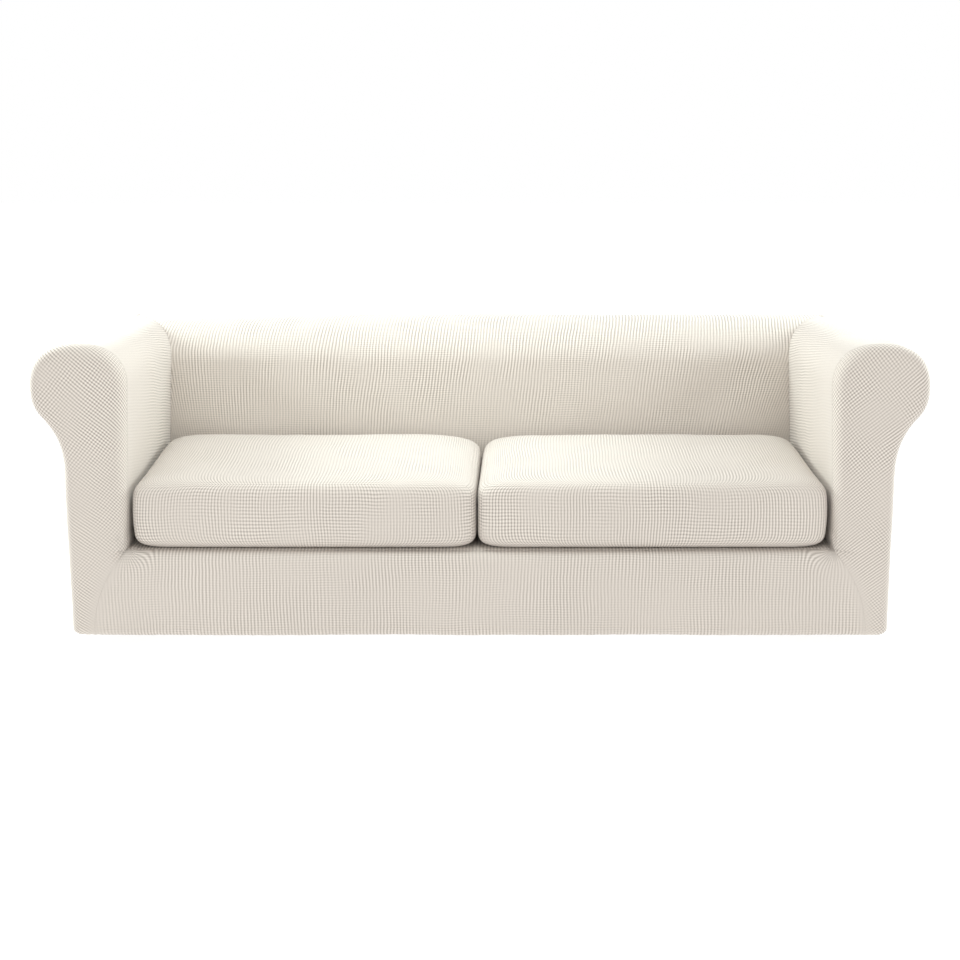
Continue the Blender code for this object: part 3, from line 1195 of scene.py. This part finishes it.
    def _over_arm(self, row: Array, z: float, run: float) -> Array:
        """Count the knit across the arm; it shows less in the drawn strip behind the facing.

        Args:
            row: the row's points.
            z: its height.
            run: its distance along the cloth.

        Returns:
            The row's knit.
        """
        depths = self._depths(row)
        shown = self.arm_faint + (1 - self.arm_faint) * soft_step(depths, *self.arm_fade)
        ribs = (run - self.arm_drop * depths) / self.side_pitch.ribs
        return self._count(ribs, depths / self.side_pitch.rows, shown, self.arm_shown)

    def inside_back(self) -> Panels:
        """Lay out the face and rounded top of the back.

        Returns:
            Its sheet by panel.
        """
        form, shares, rows = self.form, self.form.column_shares(), []
        for z in form.rows(form.deck, form.height):
            depth = form.back_depth(z)
            xs = form.inner_x(z, depth) * shares
            rows.append(self.place(xs, depth - form.bulge(np.abs(shares), z), z))
        rows += [self.place(rows[-1][:, 0], depth, form.height) for depth in form.rear_depths()]
        return {"inside_back": [self.knitted(rows, self._on_back, len(shares) // 2)]}

    def _on_back(self, row: Array, z: float, run: float) -> Array:
        """Count the back's knit, whose ribs lean, and bow and fade towards the foot of the arms.

        Args:
            row: the row's points.
            z: its height.
            run: its distance along the cloth.

        Returns:
            The row's knit.
        """
        form, xs = self.form, row[:, 0]
        down = clamped((self.back_fade_from - z) / self.back_fade_over)
        beside = form.inner_x(z, form.back_depth(z)) - np.abs(xs)
        near = np.exp(-np.maximum(beside, 0) / self.bow_reach)
        bow = np.where(xs < 0, *self.back_bow) * down**self.bow_power * near
        ribs = (xs + bow - self.back_lean * run) / self.back_pitch.ribs
        crease = self.crease_faint * down * np.exp(-((beside / self.crease_reach) ** 2))
        clear = (1 - self.foot_faint * down**2) * (1 - crease)
        return self._count(ribs, run / self.back_pitch.rows, clear, self.back_shown)

    def outside_back(self) -> Panels:
        """Lay out the rear panel: hem, sides, the rolls' scroll ends and a straight top.

        Returns:
            Its sheet by panel.
        """
        form, rows = self.form, []
        line = np.concatenate([form.outer_line(), [(-form.roll_x, form.height)]])
        for z in form.rows():
            xs = form.rear_columns(z)
            rows.append(self.place(xs, form.depth - form.edge_depth(np.abs(xs), z, line)[0], z))

        def count(row: Array, z: float, run: float) -> Array:
            """The knit of a row."""
            return self._count(row[:, 0] / self.back_pitch.ribs, z / self.side_pitch.rows)

        return {"outside_back": [self.knitted(rows, count)]}

    def folds(self) -> list:
        """Place the soft folds, as uneven as drawn cloth shows them.

        Returns:
            The folds.
        """
        waves = Held((Undulation(0.55, 0.0014, 0.4), Undulation(0.21, 0.0005, 1.9)), self._off_deck)
        folds = [
            waves,
            HemRipple(),
            Crease((-0.62, -0.41, 0.06), (-0.40, -0.41, 0.17), 0.040, 0.0010),
            Crease((0.25, -0.41, 0.04), (0.55, -0.41, 0.15), 0.050, -0.0012),
            Crease((-0.87, -0.386, 0.222), (0.87, -0.386, 0.222), 0.013, -0.0055),
        ]
        for s in (side.sign for side in Side):
            inner, back = -0.0022 - 0.00044 * s, -0.0045 - 0.0015 * s
            folds += [
                Gather((s * 0.884, -0.392, 0.226), 0.042, 0.0026, 17, 0.6 + 0.9 * s),
                Crease((s * 0.905, 0.20, 0.60), (s * 0.882, 0.02, 0.36), 0.040, inner),
                Crease((s * 0.90, 0.05, 0.64), (s * 0.885, -0.20, 0.42), 0.050, 0.0018),
                Crease((s * 0.80, 0.185, 0.64), (s * 0.52, 0.165, 0.42), 0.070, back),
                Crease((s * 0.70, 0.20, 0.66), (s * 0.36, 0.16, 0.50), 0.080, 0.003 + 0.0008 * s),
                Crease((s * 1.10, -0.30, 0.60), (s * 1.03, -0.26, 0.40), 0.050, -0.0020),
                Crease((s * 0.98, -0.41, 0.10), (s * 1.00, -0.41, 0.34), 0.035, 0.0010),
            ]
        return folds

    def _off_deck(self, points: Array, normals: Array) -> Array:
        """0 on the deck, on which the cushion covers lie flat, and 1 everywhere else."""
        level = soft_step(normals[:, 2], 0.7, 0.95)
        return 1 - level * (points[:, 2] < self.form.deck + 0.01)


@dataclass
class CushionCover(Cover):
    """One cushion cover: a wrap over front, top and rear, and a gusset at each end."""

    side: Side
    depth: float = 0.820
    front: float = 0.003
    back: float = 0.543
    deck: float = 0.222
    rest_gap: float = 0.0004
    thickness: float = 0.180
    lift: float = 0.43
    outer_x: float = 0.862
    spread: float = 0.0035
    end_bulge: float = 0.0065
    toe_rise: float = 0.13
    toe_reach: float = 0.11
    sink: float = 0.28
    split_front_x: float = -0.009
    split_back_x: float = 0.008
    gap: float = 0.0016
    plan_power: float = 16.0
    side_power: float = 8.0
    gusset_deep: float = 0.97
    gusset_tall: float = 0.93
    rim: float = 0.76
    flat: float = 0.93
    columns: int = 71
    rise_rows: int = 21
    top_rows: int = 47
    rim_rows: int = 10
    sink_from: float = 0.66
    sink_power: float = 1.6
    bulge_reach: float = 0.75
    shown: tuple[Pair, Pair] = ((0.95, 0.80), (0.85, 0.30))
    split_gains: Pair = (-0.7, 0.5)
    split_fade: Pair = (0.90, 0.955)
    top_slopes: Pair = (0.35, 0.85)
    top_fade: Pair = (0.12, 0.45)
    side_room: Pair = (0.004, 0.05)
    deck_room: Pair = (0.004, 0.04)
    pitch: Pitch = Pitch(0.0077, 0.0086)

    def __post_init__(self) -> None:
        """Record that the wrap rests on the deck."""
        self.rests = {f"{self.side.value}_cushion_wrap": ["seat_deck"]}

    def point(self, x: float, y: float, z: float) -> Point:
        """A point of the cover.

        Args:
            x: from -1 at the split to 1 at the arm.
            y: from -1 at the front to 1 at the back.
            z: from -1 below to 1 on top.

        Returns:
            The point in metres.
        """
        power, sign = self.side_power, self.side.sign
        plan = (abs(x) ** self.plan_power + abs(y) ** self.plan_power) ** (power / self.plan_power)
        reach = (plan + abs(z) ** power) ** (-1 / power)
        across, back, up = x * reach, (y * reach + 1) / 2, max(-self.flat, z * reach)
        if up > 0:
            inner = max(0.0, (-across - self.sink_from) / (1 - self.sink_from)) ** self.sink_power
            up *= 1 + self.lift * (1 - self.sink * inner) * (3 * back**2 - 2 * back**3)
        else:
            up *= 1 - self.toe_rise * max(0.0, 1 - back / self.toe_reach) ** 2
        split = self.split_front_x + (self.split_back_x - self.split_front_x) * back
        low = split + sign * self.gap / 2
        bulge = self.end_bulge * (1 - back) ** 2 * math.exp(-((up / self.bulge_reach) ** 2))
        high = sign * (self.outer_x + self.spread * back + bulge)
        place_y = self.front + (self.back - self.front) * back - self.depth / 2
        place_z = self.deck + self.rest_gap + self.thickness / 2 * (self.flat + up)
        return low + (high - low) * (across + 1) / 2, place_y, place_z

    def sheets(self) -> Panels:
        """Lay out the cover's three panels.

        Returns:
            Their sheets by panel.
        """
        deep, tall = self.gusset_deep, self.gusset_tall
        across, heights, depths = (
            np.sin(np.linspace(-1, 1, count) * math.pi / 2)
            for count in (self.columns, self.rise_rows, self.top_rows)
        )
        steps = np.arange(self.rim_rows) / self.rim_rows
        rim = [(self.rim + s * (1 - self.rim), self.rim + s * (deep - self.rim)) for s in steps]
        drop = [(1.0, deep, z * tall) for z in reversed(heights)]
        drop += [(wide, reach, -tall) for wide, reach in reversed(rim)]
        rise = [(wide, -reach, z) for wide, reach, z in reversed(drop)]
        run = rise + [(1.0, y * deep, tall) for y in depths[1:-1]] + drop
        wrap = np.array([[self.point(x * wide, y, z) for x in across] for wide, y, z in run])
        middle = len(across) // 2
        ribs = running_length(wrap[len(rim) + len(heights) // 2]) / self.pitch.ribs
        ribs -= ribs[middle]
        rows = running_length(wrap[:, middle]) / self.pitch.rows
        grid = np.meshgrid(ribs, rows)
        top, split = self._top_share(run)[:, None], soft_step(-across, *self.split_fade)
        shown = [(low + (high - low) * top) * (1 + gain * split)
                 for (low, high), gain in zip(self.shown, self.split_gains)]
        panels = {"wrap": (1, Sheet(wrap, np.stack([*grid, *shown], axis=2)))}
        for name, end in (("inner_gusset", -1), ("outer_gusset", 1)):
            points = np.array([[self.point(end * wide, -y * reach, z) for y in depths]
                               for wide, reach, z in drop])
            down = running_length(points[:, len(depths) // 2]) / self.pitch.rows
            side_rows = rows[len(rim)] + down[len(heights) - 1] - down
            side_ribs = running_length(points[len(heights) // 2][::-1])[::-1] / self.pitch.ribs
            grid = np.meshgrid(end * (abs(ribs[0]) + side_ribs), side_rows)
            even = np.ones_like(grid[0])
            panels[name] = (end, Sheet(points, np.stack([*grid, even, even], axis=2)))
        return {
            f"{self.side.value}_cushion_{name}": [made if end == self.side.sign else made.turned()]
            for name, (end, made) in panels.items()
        }

    def _top_share(self, run: list[Point]) -> Array:
        """Tell the rows of the cover's top from those of its front and back.

        Args:
            run: the rows' places, from underside over front, top and back.

        Returns:
            1 for rows on top, fading to 0 at its front, and 0 for the others.
        """
        places = np.array([self.point(0.0, y, z) for _, y, z in run])
        lengths = np.hypot(*np.gradient(places[:, 1:], axis=0).T)
        slope = np.gradient(places[:, 2]) / np.maximum(TINY, lengths)
        back = (places[:, 1] + self.depth / 2 - self.front) / (self.back - self.front)
        level = 1 - soft_step(np.abs(slope), *self.top_slopes)
        return level * soft_step(back, *self.top_fade)

    def folds(self) -> list:
        """Place dimples and pulls in top and front, and small puckers at the lower corners.

        Returns:
            The folds.
        """
        s, at = self.side.sign, self.point
        waves = (
            Undulation(0.42, 0.0018, 0.9 + s),
            Undulation(0.16, 0.0006, 2.3 - s),
            Crease(at(-0.50, 0.15, 1.0), at(0.25, 0.60, 1.0), 0.060, -0.0022),
            Crease(at(0.85, -0.75, 1.0), at(0.42, 0.15, 1.0), 0.040, 0.0016),
            Crease(at(-0.84, -0.82, 1.0), at(-0.46, -0.22, 1.0), 0.040, 0.0014),
        )
        return [
            Held(waves, self._off_neighbours),
            Gather((s * 0.852, -0.40, 0.236), 0.030, 0.0008, 13, 0.4 * s),
            Gather((s * 0.012, -0.40, 0.236), 0.026, 0.0006, 13, 1.1),
        ]

    def _off_neighbours(self, points: Array, normals: Array) -> Array:
        """Say how free the cloth is of the other cover, the arm and the deck.

        Args:
            points: the cloth's points.
            normals: the ways out from it there.

        Returns:
            0 against them, and 1 a little way off.
        """
        side = np.minimum(np.abs(points[:, 0]), np.abs(np.abs(points[:, 0]) - self.outer_x))
        above = soft_step(points[:, 2] - self.deck, *self.deck_room)
        return soft_step(side, *self.side_room) * above


@dataclass
class HemStitching:
    """A line of small stitches that holds the elastic hem, all the way round."""

    cover: BaseCover
    height: float = 0.023
    pitch: float = 0.0048
    length: float = 0.0036
    thread: float = 0.00035
    proud: float = 0.4

    def path(self) -> list[Vector]:
        """Find the line that the stitches follow, on the folded cloth.

        Returns:
            Its points, once round the cover.
        """
        right, back = (1, 0, 0), (0, 1, 0)
        left, front = (-1, 0, 0), (0, -1, 0)
        ways = {"arm_front_left": right, "front_apron": right, "arm_front_right": right,
                "outside_arm_right": back, "outside_back": left, "outside_arm_left": front}
        found = []
        for name, way in ways.items():
            points = self.cover.panels[name][0].points
            row = points[np.abs(points[:, 0, 2] - self.height).argmin()]
            for point in row[np.argsort(row @ way)]:
                out, normal = self.cover.cutter.on_cloth(point)
                found.append(out + normal * self.thread * self.proud)
        return found

    def tree(self, values: dict) -> bpy.types.GeometryNodeTree:
        """Lay one stitch at every pitch along a line, in geometry nodes.

        Args:
            values: the numbers that the tree takes, by name.

        Returns:
            The tree, with its inputs named.
        """
        tree = bpy.data.node_groups.new("hem_stitches", "GeometryNodeTree")
        sockets = [("Line", "INPUT", "Geometry"), *((name, "INPUT", "Float") for name in values),
                   ("Finish", "INPUT", "Material"), ("Stitches", "OUTPUT", "Geometry")]
        for name, way, kind in sockets:
            tree.interface.new_socket(name, in_out=way, socket_type="NodeSocket" + kind)
        bench = NodeBench(tree)
        given = bench.add("NodeGroupInput")
        curve = bench.add("GeometryNodeMeshToCurve", {"Mesh": given["Line"]})[0]
        spacing = {"Curve": curve, "Length": given["Pitch"]}
        spaced = bench.add("GeometryNodeResampleCurve", spacing, mode="LENGTH")[0]
        along = {"Vector": bench.add("GeometryNodeInputTangent")[0]}
        aim = bench.add("FunctionNodeAlignRotationToVector", along, axis="X")[0]
        ball = {"Segments": 6, "Rings": 4, "Radius": 1.0}
        bead = bench.add("GeometryNodeMeshUVSphere", ball)["Mesh"]
        half = bench.math("MULTIPLY", given["Length"], 0.5)
        thin = given["Thread"]
        size = bench.add("ShaderNodeCombineXYZ", {"X": half, "Y": thin, "Z": thin})[0]
        laying = {"Points": spaced, "Instance": bead, "Rotation": aim, "Scale": size}
        laid = bench.add("GeometryNodeInstanceOnPoints", laying)[0]
        solid = bench.add("GeometryNodeRealizeInstances", {"Geometry": laid})[0]
        dressed = {"Geometry": solid, "Material": given["Finish"]}
        done = bench.add("GeometryNodeSetMaterial", dressed)[0]
        bench.add("NodeGroupOutput", {"Stitches": done})
        return tree

    def build(self, thread: Material) -> bpy.types.Object:
        """Lay the stitches and turn them into a plain mesh.

        Args:
            thread: the thread's material.

        Returns:
            The stitches' object.
        """
        line = bpy.data.meshes.new("hem_line")
        points = self.path()
        line.from_pydata(points, [(k, k + 1) for k in range(len(points) - 1)], [])
        carrier = linked("hem_line", line)
        modifier = carrier.modifiers.new("stitches", "NODES")
        values = {"Pitch": self.pitch, "Length": self.length, "Thread": self.thread}
        modifier.node_group = self.tree(values)
        values["Finish"] = thread
        for item in modifier.node_group.interface.items_tree:
            if item.name in values:
                modifier[item.identifier] = values[item.name]
        bpy.context.view_layer.update()
        evaluated = carrier.evaluated_get(bpy.context.evaluated_depsgraph_get())
        plain = bpy.data.meshes.new_from_object(evaluated)
        carrier.modifiers.clear()
        bpy.data.objects.remove(carrier, do_unlink=True)
        plain.name = "hem_stitching"
        stitches = linked("hem_stitching", plain)
        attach(stitches, BODY)
        return stitches


# ---- the studio ----


@dataclass(frozen=True)
class SoftLight:
    """A round soft light that points at the middle of the set."""

    name: str
    place: Point
    power: float
    tint: Point = (0.96, 1.07, 1.05)
    size: float = 0.8
    aim: Point = (0.0, 0.0, 0.35)

    def build(self) -> None:
        """Hang the light."""
        data = bpy.data.lights.new(self.name, "AREA")
        data.shape, data.size = "DISK", self.size
        data.energy, data.color = self.power, self.tint
        lamp = linked(self.name, data)
        lamp.location = self.place
        way = Vector(self.aim) - Vector(self.place)
        lamp.rotation_euler = way.to_track_quat("-Z", "Y").to_euler()
        lamp.visible_camera = False


@dataclass
class Studio:
    """Pale floor, soft light from above and the camera at the photograph's angle."""

    floor_z: float = -0.035
    floor_reach: float = 40.0
    floor_paint: PlainPaint = PlainPaint("pale_floor", (0.30, 0.30, 0.30), 0.90)
    camera_place: Point = (0.0, -4.280, 1.176)
    tilt: float = math.radians(90 - 11.31)
    lens: float = 60.25
    sensor: float = 36.0
    clip_end: float = 100.0
    sky: float = 1.02
    lights: tuple[SoftLight, ...] = (
        SoftLight("top_light", (-0.25, -0.42, 1.70), 8.4),
        SoftLight("left_light", (-2.2, 0.40, 1.35), 38.0),
        SoftLight("right_light", (2.2, 0.40, 1.35), 27.0),
    )

    def build(self) -> None:
        """Make floor, lights, world and camera."""
        self._floor()
        for light in self.lights:
            light.build()
        self._sky()
        self._camera()

    def _floor(self) -> None:
        """A plain pale floor well past the edges of the view."""
        data = bpy.data.meshes.new("floor")
        reach, z = self.floor_reach, self.floor_z
        corners = [(-reach, -reach, z), (reach, -reach, z), (reach, reach, z), (-reach, reach, z)]
        data.from_pydata(corners, [], [(0, 1, 2, 3)])
        data.materials.append(self.floor_paint.material())
        floor = linked("floor", data)

    def _sky(self) -> None:
        """An even white surround, a little brighter as light than as it is seen."""
        world = bpy.data.worlds.new("studio")
        world.use_nodes = True
        bench = NodeBench(world.node_tree)
        lit, seen = (bench.add("ShaderNodeBackground", {"Color": WHITE, "Strength": power})[0]
                     for power in (self.sky, 1.0))
        camera = bench.add("ShaderNodeLightPath")["Is Camera Ray"]
        either = bench.add("ShaderNodeMixShader", {"Fac": camera, 1: lit, 2: seen})[0]
        bench.add("ShaderNodeOutputWorld", {"Surface": either})
        bpy.context.scene.world = world
        bpy.context.scene.view_settings.view_transform = "Standard"

    def _camera(self) -> None:
        """The camera, level from side to side and tilted down."""
        data = bpy.data.cameras.new("camera")
        data.lens, data.sensor_width, data.clip_end = self.lens, self.sensor, self.clip_end
        camera = linked("camera", data)
        camera.location = self.camera_place
        camera.rotation_euler = (self.tilt, 0.0, 0.0)
        bpy.context.scene.camera = camera


def main() -> None:
    """Build the whole scene and report its pieces."""
    logging.basicConfig(level=logging.INFO, format="%(message)s")
    knit = WaffleKnit().material()
    base = BaseCover(FittedForm())
    pieces = base.build(knit)
    for side in Side:
        pieces += CushionCover(side).build(knit)
    thread = PlainPaint("cream_thread", (0.74, 0.67, 0.58)).material()
    pieces.append(HemStitching(base).build(thread))
    Studio().build()
    for piece in pieces:
        LOG.info("%s: %d faces", piece.name, len(piece.data.polygons))


if __name__ == "__main__":
    main()
